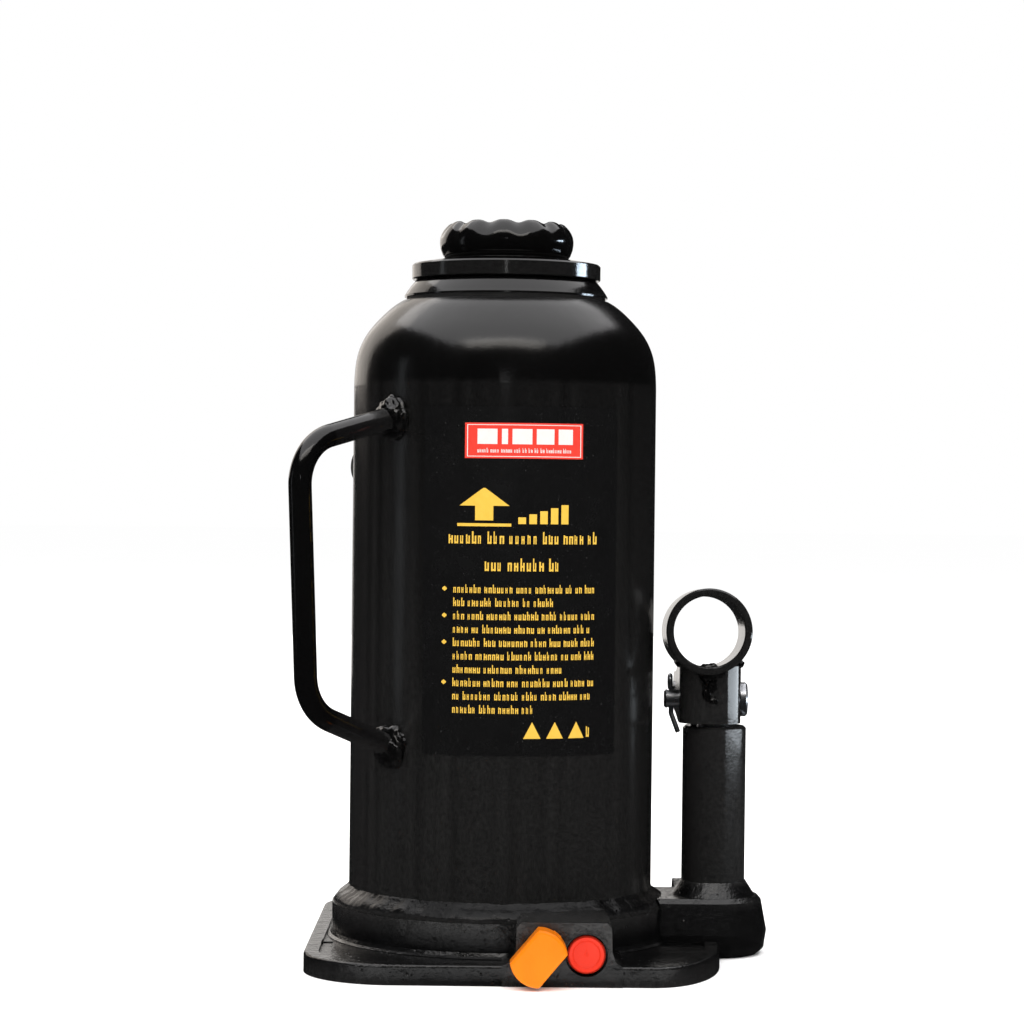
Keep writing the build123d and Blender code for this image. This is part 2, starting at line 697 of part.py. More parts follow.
def split_pin():
    """The split pin that keeps the plunger pin in place: a loop, a shank and two bent legs."""
    x = SPLIT_PIN_X
    wire = 0.75
    shape = Pos(x - 0.4, 0, 85.6) * Rot(0, 90, 0) * Torus(1.9, wire)
    for side in (-1, 1):
        y = side * 0.77
        elbow = Vector(x, y, 75.6)
        foot = Vector(x + 2.2, side * 2.1, 69.8)
        shape += rod((x, y, 75.6), (0, 0, 1), wire, 8.6)
        shape += Pos(elbow) * Sphere(wire)
        shape += rod(elbow, foot - elbow, wire, (foot - elbow).length)
    return shape


def fulcrum_pin():
    """The riveted pin through the yoke and the link's eye."""
    return eye(FULCRUM_Y, FULCRUM_Z, PIN_R, YOKE_X - YOKE_HALF - 0.3, YOKE_X + YOKE_HALF + 0.3)


def link_bar(z, half_depth, height, reach, x_low, x_high):
    """A round-ended bar across the link's head, longer than its height by reach."""
    ends = eye(FULCRUM_Y, z, half_depth, x_low, x_high) + eye(FULCRUM_Y + reach, z, half_depth, x_low, x_high)
    middle = slab([
        (FULCRUM_Y, z - height),
        (FULCRUM_Y + reach, z - height),
        (FULCRUM_Y + reach, z + height),
        (FULCRUM_Y, z + height),
    ], x_low, x_high)
    return ends + middle


def link():
    """The flat link behind the pump, with a slotted eye above and a round one below."""
    low = YOKE_X - LINK_HALF
    high = YOKE_X + LINK_HALF
    eye_z = FULCRUM_Z - 0.07
    hole = PIN_R + 0.42
    shank = slab([
        (FULCRUM_Y - 4.8, LINK_PIN_Z),
        (FULCRUM_Y + 4.8, LINK_PIN_Z),
        (FULCRUM_Y + 5.2, eye_z),
        (FULCRUM_Y - 4.4, eye_z),
    ], low, high)
    body = link_bar(eye_z, LINK_EYE_R, LINK_EYE_R, LINK_SLOT, low, high) + shank
    body += eye(FULCRUM_Y, LINK_PIN_Z, LINK_EYE_R, low, high)
    body -= link_bar(eye_z, hole, hole, LINK_SLOT, low - 1, high + 1)
    return body - eye(FULCRUM_Y, LINK_PIN_Z, PIN_R + FIT, low - 1, high + 1)


def link_pin():
    """The pin that holds the link between the base's ears."""
    return eye(FULCRUM_Y, LINK_PIN_Z, PIN_R, YOKE_X - EAR_HALF - 0.6, YOKE_X + EAR_HALF + 0.6)


# ---- valves ----

def release_stem():
    """The release valve's screw: a drive end, an O-ring groove, a threaded shank and a ball cup."""
    outline = [
        (0, 0), (3.7, 0), (4.0, 0.4), (4.0, 7.4), (5.0, 7.4), (5.0, 13.0), (3.6, 13.0), (3.6, 15.4), (5.0, 15.4),
        (5.0, 34.0), (4.6, 34.5), (3.1, 34.5), (3.1, 36.4), (0, 36.4),
    ]
    stem = Plane(origin=(RELEASE_X, -77.6, VALVE_Z), z_dir=(0, 1, 0)) * turned(outline)
    return stem - Pos(RELEASE_X, -38.45, VALVE_Z) * Sphere(3.02)


def release_o_ring():
    """The rubber ring that seals the release stem."""
    return tube((RELEASE_X, -64.4, VALVE_Z), (0, 1, 0), 5.0, 3.6, 2.0)


def release_ball():
    """The steel ball in the stem's tip."""
    return Pos(RELEASE_X, -38.45, VALVE_Z) * Sphere(3.0)


def release_cap():
    """The plastic turning head: a disc with two flats, a domed face and small moulding nibs."""
    front = Plane(origin=(RELEASE_X, PAD_FRONT - 0.45, VALVE_Z), x_dir=(1, 0, 0), z_dir=(0, -1, 0))
    outline = Circle(8.5) & Rectangle(20, 11.2)
    head = extrude(outline, amount=8.0)
    head = fillet(head.faces().sort_by(Axis.Z)[-1].edges(), 1.1)
    for side in (-1, 1):
        head += Pos(side * 7.2, 0, 1.4) * Box(2.9, 2.6, 2.8)
    head -= extrude(Circle(4.0 + FIT), amount=6.5)
    return front * Rot(0, 0, 50) * head


def relief_cover_plug():
    """The round cover pressed into the recess over the relief valve."""
    outline = [(0, 0), (5.65, 0), (5.65, 3.2), (5.1, 3.9), (4.2, 3.6), (3.8, 3.2), (0, 3.1)]
    return Plane(origin=(RELIEF_X, PAD_FRONT + 4.6, VALVE_Z + 0.1), z_dir=(0, -1, 0)) * turned(outline)


def relief_screw():
    """The set screw that adjusts the relief pressure."""
    body = rod((RELIEF_X, -58, VALVE_Z), (0, 1, 0), 4.0 - FIT, 9.0)
    socket = Plane(origin=(RELIEF_X, -59, VALVE_Z), z_dir=(0, 1, 0)) * RegularPolygon(2.2, 6)
    return body - extrude(socket, amount=4.5)


def relief_spring():
    """The stiff spring of the relief valve."""
    return coil((RELIEF_X, -48.2, VALVE_Z), (0, 1, 0), 2.5, 0.7, 2.2, 11.0)


def relief_ball():
    """The relief valve's steel ball."""
    return Pos(RELIEF_X, -34.12, VALVE_Z) * Sphere(2.2)


def build():
    """Every separate piece of the jack, by name."""
    handle = carry_handle()
    bracket = yoke()
    return {
        "base_casting": base_casting(),
        "tank_weld_bead": weld_ring(),
        "reservoir_tank": reservoir_tank(),
        "carry_handle": handle,
        "handle_weld_beads": handle_weld_beads(handle),
        "label": label(),
        "oil_filler_plug": oil_filler_plug(),
        "ram_cylinder": ram_cylinder(),
        "cylinder_gasket": cylinder_gasket(),
        "tank_gasket": tank_gasket(),
        "tank_cap": tank_cap(),
        "ram_wiper": ram_wiper(),
        "ram": ram(),
        "piston_collar": piston_collar(),
        "seal_backup_washer": seal_backup_washer(),
        "piston_cup_seal": piston_cup_seal(),
        "seal_retaining_nut": seal_retaining_nut(),
        "extension_screw": extension_screw(),
        "screw_stop_ring": screw_stop_ring(),
        "saddle_retaining_ring": saddle_retaining_ring(),
        "saddle": saddle(),
        "pump_cylinder": pump_cylinder(),
        "pump_gland_seal": pump_gland_seal(),
        "pump_gasket": pump_gasket(),
        "plunger": plunger(),
        "plunger_cup_seal": plunger_cup_seal(),
        "suction_ball": seated_ball(PUMP_X, PORT_Y, 5.4),
        "delivery_ball": seated_ball(DELIVERY_X, -PORT_Y, 6.0),
        "delivery_spring": delivery_spring(),
        "delivery_plug": delivery_plug(),
        "suction_strainer": suction_strainer(),
        "gallery_plugs": gallery_plugs(),
        "socket_tube": socket_tube(),
        "yoke": bracket,
        "socket_weld": socket_weld(bracket),
        "plunger_pin": plunger_pin(),
        "pin_spacer": pin_spacer(),
        "split_pin": split_pin(),
        "fulcrum_pin": fulcrum_pin(),
        "link": link(),
        "link_pin": link_pin(),
        "release_stem": release_stem(),
        "release_o_ring": release_o_ring(),
        "release_ball": release_ball(),
        "release_cap": release_cap(),
        "relief_cover_plug": relief_cover_plug(),
        "relief_screw": relief_screw(),
        "relief_spring": relief_spring(),
        "relief_ball": relief_ball(),
    }


os.makedirs("parts", exist_ok=True)
for name, shape in build().items():
    export_step(shape, f"parts/{name}.step")
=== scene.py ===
import bmesh
import bpy
import json
import random
from math import cos, pi, radians, sin, sqrt
from mathutils import Matrix, Vector, noise


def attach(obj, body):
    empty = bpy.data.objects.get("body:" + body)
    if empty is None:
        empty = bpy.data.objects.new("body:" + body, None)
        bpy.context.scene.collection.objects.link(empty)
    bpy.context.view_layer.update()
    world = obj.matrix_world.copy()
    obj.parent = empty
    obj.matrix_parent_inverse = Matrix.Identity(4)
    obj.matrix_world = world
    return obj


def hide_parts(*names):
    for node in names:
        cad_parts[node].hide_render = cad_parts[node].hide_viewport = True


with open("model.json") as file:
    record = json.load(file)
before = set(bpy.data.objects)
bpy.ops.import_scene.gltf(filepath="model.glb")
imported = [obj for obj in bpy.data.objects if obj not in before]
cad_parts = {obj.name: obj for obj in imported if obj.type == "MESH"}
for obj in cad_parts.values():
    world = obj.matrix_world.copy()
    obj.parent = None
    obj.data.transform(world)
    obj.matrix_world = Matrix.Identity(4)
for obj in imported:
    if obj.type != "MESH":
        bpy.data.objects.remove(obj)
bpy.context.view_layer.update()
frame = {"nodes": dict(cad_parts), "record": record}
MM = 0.001

# Sizes that the made pieces share with the solids, in millimetres
TANK_R = 47.8
LABEL_R = 48.0
BOSS_R = 53.0
BOSS_TOP = 15.7
BEAD_TOP = 21.6
YOKE_X = 65.7
YOKE_HALF = 9.7
YOKE_FRONT = -10.5
HANDLE_AZIMUTH = 45.0
HANDLE_TOP_Z = 167.7
HANDLE_BOTTOM_Z = 67.0
SADDLE_BOTTOM = 218.3
SADDLE_TOP = 230.0
SADDLE_LOBES = 12
SADDLE_TURN = -3.0
SPIGOT_TOP = 224.6
SCREW_R = 11.95
SCREW_BOTTOM = 104.0
SCREW_TOP = 218.0
THREAD_PITCH = 4.0
THREAD_DEPTH = 1.75

# Heights on the label, in millimetres
INK_BOTTOM = -0.02
INK_TOP = 0.035
LIST_TOP = 115.9
LIST_STEP = 4.03


# ---- finishes: a small language for shader trees ----

class Value:
    """One output of a node, usable in sums."""

    def __init__(self, finish, socket):
        self.finish = finish
        self.socket = socket

    def sum(self, operation, first, second):
        return self.finish.node("ShaderNodeMath", {"operation": operation}, {0: first, 1: second})

    def __add__(self, other):
        return self.sum("ADD", self, other)

    def __radd__(self, other):
        return self.sum("ADD", other, self)

    def __sub__(self, other):
        return self.sum("SUBTRACT", self, other)

    def __rsub__(self, other):
        return self.sum("SUBTRACT", other, self)

    def __mul__(self, other):
        return self.sum("MULTIPLY", self, other)

    def __rmul__(self, other):
        return self.sum("MULTIPLY", other, self)


class Finish:
    """A material being made: its tree, its shader, and one way to add nodes."""

    def __init__(self, name, **uniform):
        self.material = bpy.data.materials.new(name)
        self.material.use_nodes = True
        self.tree = self.material.node_tree
        self.shader = self.tree.nodes["Principled BSDF"]
        for socket, value in uniform.items():
            self.shader.inputs[socket.replace("_", " ")].default_value = value
        self.place = self.node("ShaderNodeTexCoord", {}, {}, "Object")

    def node(self, kind, settings, inputs, out=0):
        made = self.tree.nodes.new(kind)
        for key, value in settings.items():
            if key == "stops":
                self.set_stops(made.color_ramp, value)
            else:
                setattr(made, key, value)
        for key, value in inputs.items():
            self.feed(made.inputs[key], value)
        return Value(self, made.outputs[out])

    def set_stops(self, ramp, stops):
        for n, (position, level) in enumerate(stops):
            stop = ramp.elements[n] if n < 2 else ramp.elements.new(position)
            stop.position = position
            stop.color = (level, level, level, 1)

    def feed(self, socket, value):
        if isinstance(value, Value):
            self.tree.links.new(value.socket, socket)
        else:
            socket.default_value = value

    def grain(self, scale, detail=3.0, rough=0.55, stretch=(1, 1, 1), seed=0.0):
        """Soft noise from 0 to 1, with scale in features per metre."""
        shift = (seed, seed, seed)
        inputs = {"Vector": self.place, "Scale": stretch, "Location": shift}
        spot = self.node("ShaderNodeMapping", {}, inputs)
        inputs = {"Vector": spot, "Scale": scale, "Detail": detail, "Roughness": rough}
        return self.node("ShaderNodeTexNoise", {}, inputs)

    def cells(self, scale):
        """Distance to the nearest of many scattered points."""
        return self.node("ShaderNodeTexVoronoi", {}, {"Vector": self.place, "Scale": scale})

    def ramp(self, value, *stops):
        return self.node("ShaderNodeValToRGB", {"stops": stops}, {"Fac": value})

    def between(self, factor, first, second):
        """A colour that runs from first to second."""
        return self.node("ShaderNodeMix", {"data_type": "RGBA"}, {0: factor, 6: first, 7: second}, 2)

    def bump(self, height, distance, strength=1.0, under=None):
        inputs = {"Height": height, "Distance": distance, "Strength": strength}
        if under is not None:
            inputs["Normal"] = under
        return self.node("ShaderNodeBump", {}, inputs)

    def edges(self, low=0.52, high=0.6):
        """1 on sharp outer edges, 0 elsewhere."""
        sharp = self.node("ShaderNodeNewGeometry", {}, {}, "Pointiness")
        return self.ramp(sharp, (low, 0.0), (high, 1.0))

    def finish(self, colour, rough, normal=None):
        """Feeds the shader and hands over the material."""
        self.feed(self.shader.inputs["Base Color"], colour)
        self.feed(self.shader.inputs["Roughness"], rough)
        if normal is not None:
            self.feed(self.shader.inputs["Normal"], normal)
        return self.material


def rgb(red, green, blue):
    return (red, green, blue, 1.0)


def black_enamel(name="black_enamel", shine=0.13, peel=1.0):
    """Thick stove enamel: deep black, a faint orange peel, fine dust and thin spots on edges."""
    f = Finish(name, Specular_IOR_Level=0.5)
    cloud = f.grain(28, 4)
    spots = f.ramp(f.grain(60, 3, seed=4.0), (0.45, 0.0), (0.7, 1.0))
    dust = f.ramp(f.grain(2600, 2, 0.6), (0.66, 0.0), (0.74, 1.0)) * spots
    streak = f.grain(220, 3, 0.6, (1, 1, 0.06), 2.0)
    colour = f.between(cloud, rgb(0.0009, 0.0009, 0.0010), rgb(0.0022, 0.0021, 0.0021))
    colour = f.between(dust * 0.22, colour, rgb(0.10, 0.098, 0.095))
    colour = f.between(f.edges() * f.grain(900, 4) * 0.25, colour, rgb(0.07, 0.069, 0.067))
    haze = f.ramp(f.grain(75, 5, 0.6, seed=1.0), (0.3, 0.0), (0.75, 1.0))
    rough = haze * 0.06 + streak * 0.07 + shine + dust * 0.2
    fine = f.bump(f.grain(1500, 2, 0.5), 0.00005 * peel, 0.4)
    normal = f.bump(f.grain(200, 3, 0.5, (1, 1, 0.5), 3.0), 0.0003 * peel, 0.3, fine)
    return f.finish(colour, rough, normal)


def enamelled_casting(name="enamelled_casting", **uniform):
    """The same enamel over a sand-cast skin: lumpy, pitted, duller in the hollows."""
    f = Finish(name, **uniform)
    lumps = f.grain(170, 5, 0.6)
    sand = f.grain(900, 4, 0.65, seed=2.0)
    scattered = f.ramp(f.grain(90, 2, seed=6.0), (0.5, 0.0), (0.62, 1.0))
    pits = f.ramp(f.cells(420), (0.05, 1.0), (0.2, 0.0)) * scattered
    colour = f.between(lumps, rgb(0.0015, 0.0015, 0.0016), rgb(0.0045, 0.0045, 0.0047))
    colour = f.between(f.ramp(sand, (0.62, 0.0), (0.8, 1.0)) * 0.2, colour, rgb(0.07, 0.069, 0.067))
    colour = f.between(f.edges(0.53, 0.62) * sand * 0.4, colour, rgb(0.10, 0.098, 0.095))
    rough = f.ramp(sand, (0.3, 0.0), (0.8, 1.0)) * 0.14 + 0.13 + pits * 0.2
    normal = f.bump(sand, 0.00018, 0.45)
    normal = f.bump(lumps, 0.0014, 0.5, normal)
    normal = f.bump(1 - pits, 0.0004, 0.5, normal)
    return f.finish(colour, rough, normal)


def label_sheet():
    """The label's black ground: satin film with a faint weave of print dots and rubbed spots."""
    f = Finish("label_sheet")
    rub = f.grain(120, 5, 0.65)
    colour = f.between(rub, rgb(0.0026, 0.0026, 0.0027), rgb(0.0055, 0.0055, 0.0057))
    specks = f.ramp(f.grain(1900, 2), (0.68, 0.0), (0.76, 1.0)) * 0.3
    colour = f.between(specks, colour, rgb(0.1, 0.1, 0.1))
    rough = rub * 0.12 + 0.2
    normal = f.bump(f.grain(420, 3), 0.00012, 0.4)
    return f.finish(colour, rough, normal)


def print_ink(name, deep, pale):
    """Screen-printed ink: even but slightly mottled, with pinholes and a soft sheen."""
    f = Finish(name, Specular_IOR_Level=0.2)
    mottle = f.grain(500, 4, 0.6)
    pinholes = f.ramp(f.grain(3800, 2), (0.70, 0.0), (0.78, 1.0))
    colour = f.between(mottle, deep, pale)
    colour = f.between(pinholes * 0.6, colour, rgb(0.02, 0.02, 0.02))
    normal = f.bump(f.grain(2400, 2), 0.00003, 0.4)
    return f.finish(colour, mottle * 0.12 + 0.3, normal)


def black_rubber():
    """Moulded rubber: matt, with a talc bloom and fine pores."""
    f = Finish("black_rubber", Specular_IOR_Level=0.35)
    bloom = f.grain(240, 5, 0.65)
    colour = f.between(bloom, rgb(0.008, 0.008, 0.008), rgb(0.035, 0.034, 0.033))
    rough = bloom * 0.2 + 0.5
    normal = f.bump(f.grain(2200, 3), 0.00012, 0.5)
    return f.finish(colour, rough, normal)


def bare_metal(name, dark, light, low, high, scale, stretch, depth):
    """Bare metal with a directional tool finish, stains and a range of roughness."""
    f = Finish(name, Metallic=1.0)
    lines = f.grain(scale, 4, 0.6, stretch)
    stain = f.grain(130, 5, 0.6, seed=5.0)
    colour = f.between(stain, dark, light)
    soot = f.ramp(f.grain(700, 4, seed=7.0), (0.62, 0.0), (0.78, 1.0)) * 0.4
    colour = f.between(soot, colour, rgb(0.16, 0.14, 0.12))
    rough = lines * (high - low) + low + f.ramp(stain, (0.5, 0.0), (0.8, 1.0)) * 0.1
    normal = f.bump(lines, depth, 0.5)
    return f.finish(colour, rough, normal)


def zinc_steel():
    """Bright zinc plate on the pins: bluish, a little cloudy, with fine scratches."""
    f = Finish("zinc_steel", Metallic=1.0)
    cloud = f.grain(420, 4, 0.6)
    scratch = f.grain(900, 3, 0.6, (1, 0.08, 1), 3.0)
    colour = f.between(cloud, rgb(0.50, 0.52, 0.56), rgb(0.82, 0.83, 0.86))
    worn = f.ramp(f.grain(1300, 3, seed=8.0), (0.64, 0.0), (0.75, 1.0)) * 0.5
    colour = f.between(worn, colour, rgb(0.2, 0.18, 0.16))
    rough = cloud * 0.16 + scratch * 0.1 + 0.16
    normal = f.bump(scratch, 0.00005, 0.5)
    return f.finish(colour, rough, normal)


def screw_steel():
    """The extension screw: dark oiled steel with grease in the thread."""
    f = Finish("screw_steel", Metallic=0.9)
    oil = f.grain(160, 5, 0.65)
    colour = f.between(oil, rgb(0.16, 0.145, 0.125), rgb(0.42, 0.40, 0.37))
    rough = f.ramp(oil, (0.35, 0.0), (0.7, 1.0)) * 0.22 + 0.18
    normal = f.bump(f.grain(1600, 3, 0.6, (1, 1, 0.3)), 0.00008, 0.5)
    return f.finish(colour, rough, normal)


def moulded_plastic(name, deep, pale, **uniform):
    """Glossy moulded plastic with flow marks, small dents and a scuffed edge."""
    f = Finish(name, **uniform)
    flow = f.grain(160, 4, 0.6, (1, 1, 0.4))
    scuff = f.ramp(f.grain(1500, 3, seed=3.0), (0.64, 0.0), (0.76, 1.0))
    colour = f.between(flow, deep, pale)
    colour = f.between(scuff * 0.3, colour, pale)
    rough = flow * 0.14 + 0.24 + scuff * 0.12
    normal = f.bump(f.grain(900, 3, 0.6), 0.00012, 0.4)
    normal = f.bump(flow, 0.0004, 0.3, normal)
    return f.finish(colour, rough, normal)


def pale_floor():
    """The studio floor: pale, matt, with a trace of unevenness."""
    f = Finish("studio_floor", Specular_IOR_Level=0.0)
    cloud = f.grain(6, 3)
    colour = f.between(cloud, rgb(0.985, 0.985, 0.985), rgb(1.0, 1.0, 1.0))
    return f.finish(colour, cloud * 0.1 + 0.6)


FINISHES = {
    "black_enamel": black_enamel(),
    "gloss_enamel": black_enamel("gloss_enamel", 0.05, 0.8),
    "enamelled_casting": enamelled_casting(),
    "weld_enamel": enamelled_casting("weld_enamel", Specular_IOR_Level=0.2),
    "label_print": label_sheet(),
    "black_rubber": black_rubber(),
    "machined_steel": bare_metal("machined_steel", rgb(0.33, 0.33, 0.34), rgb(0.56, 0.56, 0.57),
                                 0.22, 0.42, 1400, (0.15, 1, 1), 0.00006),
    "plated_steel": bare_metal("plated_steel", rgb(0.62, 0.63, 0.65), rgb(0.8, 0.8, 0.82),
                               0.22, 0.34, 2600, (1, 1, 3), 0.00002),
    "screw_steel": screw_steel(),
    "zinc_steel": zinc_steel(),
    "spring_steel": bare_metal("spring_steel", rgb(0.25, 0.25, 0.26), rgb(0.45, 0.45, 0.46),
                               0.25, 0.4, 1500, (1, 1, 1), 0.00005),
    "copper_alloy": bare_metal("copper_alloy", rgb(0.5, 0.26, 0.14), rgb(0.76, 0.46, 0.28),
                               0.25, 0.45, 900, (1, 1, 1), 0.00006),
    "orange_plastic": moulded_plastic("orange_plastic", rgb(0.58, 0.13, 0.001), rgb(0.64, 0.165, 0.003),
                                      Specular_IOR_Level=0.12),
    "red_plastic": moulded_plastic("red_plastic", rgb(0.56, 0.022, 0.009), rgb(0.64, 0.038, 0.018),
                                   Specular_IOR_Level=0.12),
}
INKS = {
    "yellow": print_ink("yellow_ink", rgb(0.62, 0.37, 0.036), rgb(0.72, 0.46, 0.07)),
    "red": print_ink("red_ink", rgb(0.60, 0.03, 0.018), rgb(0.68, 0.045, 0.028)),
    "white": print_ink("white_ink", rgb(0.60, 0.58, 0.56), rgb(0.68, 0.66, 0.63)),
}

# Carried-over nodes with the glossier enamel
GLOSSIER = ("tank_cap", "pump_cylinder", "yoke", "socket_tube", "link", "carry_handle")
# Widths of the small round-overs on carried-over nodes, in millimetres
BEVELS = {
    "base_casting": 0.45,
    "tank_cap": 0.35,
    "oil_filler_plug": 0.3,
    "pump_cylinder": 0.4,
    "yoke": 0.35,
    "socket_tube": 0.5,
    "plunger_pin": 0.2,
    "link": 0.5,
    "release_cap": 0.4,
    "relief_cover_plug": 0.4,
}


def dress(objects):
    """Gives every carried-over node the finish of its material slot, and rounds the sharpest edges."""
    slots = {s["node"]: s["material_slot"] for s in frame["record"]["subparts"]}
    for name, node in objects.items():
        node.data.materials.clear()
        node.data.materials.append(FINISHES["gloss_enamel" if name in GLOSSIER else slots[name]])
        if name in BEVELS:
            round_over(node, BEVELS[name])
        for face in node.data.polygons:
            face.material_index = 0


def round_over(node, width):
    """A small bevel on the edges of a carried-over node."""
    bevel = node.modifiers.new("round_over", "BEVEL")
    bevel.width = width * MM
    bevel.segments = 2
    bevel.limit_method = "ANGLE"
    bevel.angle_limit = radians(38)
    bevel.harden_normals = True


# ---- mesh tools ----

def piece(name, points, faces, body, finish, smooth=True):
    """A new object from points in millimetres, riding on a body."""
    mesh = bpy.data.meshes.new(name)
    mesh.from_pydata([Vector(p) * MM for p in points], [], faces)
    mesh.update()
    tidy = bmesh.new()
    tidy.from_mesh(mesh)
    bmesh.ops.remove_doubles(tidy, verts=tidy.verts, dist=1e-7)
    bmesh.ops.recalc_face_normals(tidy, faces=tidy.faces)
    tidy.to_mesh(mesh)
    tidy.free()
    made = bpy.data.objects.new(name, mesh)
    bpy.context.collection.objects.link(made)
    mesh.materials.append(finish)
    for face in mesh.polygons:
        face.use_smooth = smooth
    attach(made, body)
    return made


def grid_faces(rows, columns, wrap_rows=False):
    """Quads over rings of points that are stored ring by ring."""
    faces = []
    for r in range(rows if wrap_rows else rows - 1):
        row = r * columns
        above = ((r + 1) % rows) * columns
        for c in range(columns):
            after = (c + 1) % columns
            faces.append((row + c, row + after, above + after, above + c))
    return faces


# ---- label print ----

def on_label(angle, height, lift):
    """A point on the label, by its angle from the front in degrees and its height."""
    turn = radians(angle)
    radius = LABEL_R + lift
    return (radius * sin(turn), -radius * cos(turn), height)


class Print:
    """A run of raised ink patches that bend with the label."""

    def __init__(self, lift=0.0):
        self.lift = lift
        self.points = []
        self.faces = []

    def shape(self, outline):
        """A flat-topped patch over a convex outline of (angle, height)."""
        start = len(self.points)
        count = len(outline)
        for lift in (INK_BOTTOM, INK_TOP):
            self.points += [on_label(a, h, lift + self.lift) for a, h in outline]
        self.faces.append(tuple(range(start + count, start + 2 * count)))
        self.faces.append(tuple(reversed(range(start, start + count))))
        for n in range(count):
            after = (n + 1) % count
            self.faces.append((start + n, start + after, start + count + after, start + count + n))

    def bar(self, left, right, low, high):
        """A bar, split often enough to follow the curve."""
        steps = max(1, round((right - left) / 3))
        for n in range(steps):
            a = left + (right - left) * n / steps
            b = left + (right - left) * (n + 1) / steps
            self.shape([(a, low), (b, low), (b, high), (a, high)])

    def figure(self, left, right, low, high):
        """A patch between two lines that change with the angle, in narrow columns."""
        steps = max(2, round((right - left) / 0.8))
        for n in range(steps):
            a = left + (right - left) * n / steps
            b = left + (right - left) * (n + 1) / steps
            self.shape([(a, low(a)), (b, low(b)), (b, high(b) + 0.01), (a, high(a) + 0.01)])

    def words(self, left, right, middle, height, seed):
        """A line of stand-in text: short blocks of uneven height, grouped like words."""
        chance = random.Random(seed)
        step = height * 0.56
        spot = left
        while spot < right - step:
            for _ in range(chance.randint(2, 7)):
                if spot > right - step:
                    break
                tall = height * chance.choice((0.62, 0.62, 0.7, 0.95))
                foot = middle - height * 0.45
                wide = step * chance.choice((0.5, 0.66, 0.74))
                self.bar(spot, spot + wide * 0.36, foot, foot + tall)
                self.bar(spot + wide * 0.64, spot + wide, foot, foot + height * 0.62)
                cross = foot + height * chance.choice((0.02, 0.28, 0.5))
                self.bar(spot + wide * 0.3, spot + wide * 0.7, cross, cross + height * 0.13)
                spot += step
            spot += step * 0.6

    def made(self, name, ink):
        return piece(name, self.points, self.faces, "base", INKS[ink], smooth=False)


def label_yellow():
    """The yellow print: a lifting pictogram, bold stand-in blocks and stand-in text."""
    ink = Print()
    # an upward arrow above a ground line
    middle = -6.9
    ink.bar(-10.2, -3.6, 136.6, 141.0)
    ink.figure(-16.0, 2.2, lambda a: 141.0, lambda a: 141.0 + 5.6 * (1 - abs(a - middle) / 9.1))
    ink.bar(-16.8, 2.9, 134.8, 135.7)
    for n in range(5):
        ink.bar(5.4 + 4.0 * n, 8.2 + 4.0 * n, 135.6, 137.6 + 0.95 * n)
    ink.words(-20.0, 38.6, 131.3, 3.9, 5)
    ink.words(-6.5, 22.5, 123.2, 4.1, 8)
    ends = (36, 20, 36, 35, 36, 36, 24, 36, 35, 12)
    for n, end in enumerate(ends):
        height = LIST_TOP - LIST_STEP * n
        ink.words(-18.0, end, height, 2.7, 20 + n)
        if n in (0, 2, 4, 7):
            ink.figure(-22.3, -20.5, lambda a: height - dot(a), lambda a: height + dot(a))
    for left in (8.0, 16.5, 25.0):
        ink.figure(left, left + 6.4, lambda a: 70.9, lambda a: 70.9 + 5.0 * (1 - abs(a - left - 3.2) / 3.2))
    ink.words(32.4, 37.5, 73.2, 4.6, 41)
    return ink.made("label_yellow_print", "yellow")


def dot(angle):
    """Half the height of a list dot, by the angle across it."""
    return 0.75 * sqrt(max(0.0, 1 - ((angle + 21.4) / 0.92) ** 2))


def label_red():
    """The plain red block at the head of the label."""
    ink = Print()
    ink.bar(-14.2, 29.8, 155.3, 166.0)
    return ink.made("label_red_print", "red")


def label_white():
    """A thin frame in the red block, with a row of stand-in blocks and a fine line under them."""
    ink = Print(0.03)
    ink.bar(-13.4, 29.0, 165.3, 165.5)
    ink.bar(-13.4, 29.0, 155.8, 156.0)
    for left in (-13.4, 28.7):
        ink.bar(left, left + 0.3, 155.8, 165.5)
    for left, right in ((-9.6, -2.4), (-0.8, 1.4), (3.0, 10.2), (11.8, 18.4), (20.0, 25.6)):
        ink.bar(left, right, 159.6, 164.2)
    ink.words(-9.6, 25.6, 157.7, 1.5, 61)
    return ink.made("label_white_print", "white")


# ---- welds, saddle and thread ----

def tank_weld():
    """The tank's weld: a run of overlapping ripples round the foot of the tank."""
    columns = 720
    foot = ((TANK_R - 0.3, BOSS_TOP), (BOSS_R - 0.4, BOSS_TOP))
    flank = ((BOSS_R - 0.7, BOSS_TOP + 1.4), (BOSS_R - 1.5, BOSS_TOP + 2.6), (BOSS_R - 2.9, BOSS_TOP + 3.6))
    crest = ((TANK_R + 0.9, BOSS_TOP + 4.6), (TANK_R + 0.35, BEAD_TOP - 0.5), (TANK_R - 0.3, BEAD_TOP - 0.3))
    profile = foot + flank + crest
    points = []
    for row, (radius, height) in enumerate(profile):
        free = 0.0 if row in (0, 1, len(profile) - 1) else 1.0
        for c in range(columns):
            turn = 2 * pi * c / columns
            wave = abs(sin(48 * turn + 1.2 * sin(3 * turn) - height * 0.5))
            lump = noise.noise(Vector((cos(turn) * 9, sin(turn) * 9, height * 0.3)))
            out = radius + free * (-0.13 * wave + 0.35 * lump - 0.3)
            points.append((out * cos(turn), out * sin(turn), height + free * 0.25 * lump))
    faces = grid_faces(len(profile), columns, wrap_rows=True)
    made = piece("tank_weld_run", points, faces, "base", FINISHES["weld_enamel"])
    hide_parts("tank_weld_bead")


